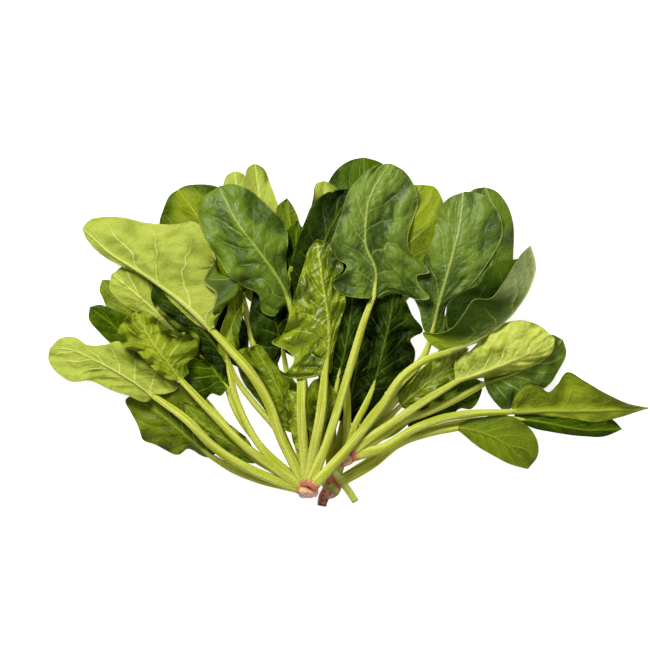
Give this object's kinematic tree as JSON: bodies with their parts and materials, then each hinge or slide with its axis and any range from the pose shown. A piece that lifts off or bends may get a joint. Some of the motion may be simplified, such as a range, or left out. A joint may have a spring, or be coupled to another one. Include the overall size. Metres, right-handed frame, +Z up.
{
  "type": "spinach bunch",
  "caption": "Cut bunch of fresh spinach lying fanned out: broad green leaves on long pale stems that meet in pink crowns, one with a stub of its root, and a loose cut stem.",
  "frame": {"origin": "centre of the bounding box on the surface that the bunch lies on", "axes": "+X along the width of the fan, +Y from the crowns towards the leaf tips, +Z up from the surface"},
  "size_m": [0.4814, 0.2816, 0.039],
  "materials": {
    "pale": "satin leaf surface",
    "lime": "satin leaf surface",
    "bright": "satin leaf surface",
    "mid": "satin leaf surface",
    "olive": "satin leaf surface",
    "dark": "satin leaf surface",
    "deep": "satin leaf surface",
    "grey": "satin leaf surface",
    "grey_top": "satin leaf surface",
    "crown": "satin skin",
    "crown_green": "satin skin",
    "stalk": "satin, ribbed along its length"
  },
  "bodies": {
    "root": {"leaf_far_left_mid": "mid", "leaf_far_left_dark": "dark", "leaf_far_left_oval": "pale", "leaf_low_left": "olive", "leaf_top_dark": "dark", "leaf_far_right_under": "dark", "leaf_top_pale": "pale", "leaf_mid_folded": "pale", "leaf_left_tip_low": "pale", "leaf_left_tip_long": "pale", "leaf_left_tip_small": "mid", "leaf_left_round": "lime", "leaf_left_under": "mid", "leaf_left_ruffled": "dark", "leaf_left_deep": "dark", "leaf_centre_deep": "deep", "leaf_mid_narrow": "dark", "leaf_mid_inner": "mid", "leaf_mid_rimmed": "deep", "leaf_right_behind": "mid", "leaf_right_shiny": "deep", "leaf_centre_shiny": "deep", "leaf_centre_dark": "dark", "leaf_right_lobed": "dark", "leaf_right_small": "mid", "leaf_left_twisted": "lime", "leaf_low_left_crumpled": "deep", "leaf_inner_dark": "deep", "leaf_inner_bright": "lime", "leaf_right_grey": "grey", "leaf_low_right": "dark", "leaf_far_left_low": "pale", "leaf_far_left_crinkled": "lime", "leaf_left_broad": "pale", "leaf_far_right": "mid", "leaf_right_pale": "bright", "leaf_left_crinkled": "deep", "leaf_inner_small": "mid", "leaf_centre_bright": "lime", "leaf_top_main": "grey_top", "leaf_right_folded": "dark", "crown_left": "crown", "crown_low": "crown_green", "crown_high": "crown", "cut_stalk": "stalk"}
  },
  "joints": []
}
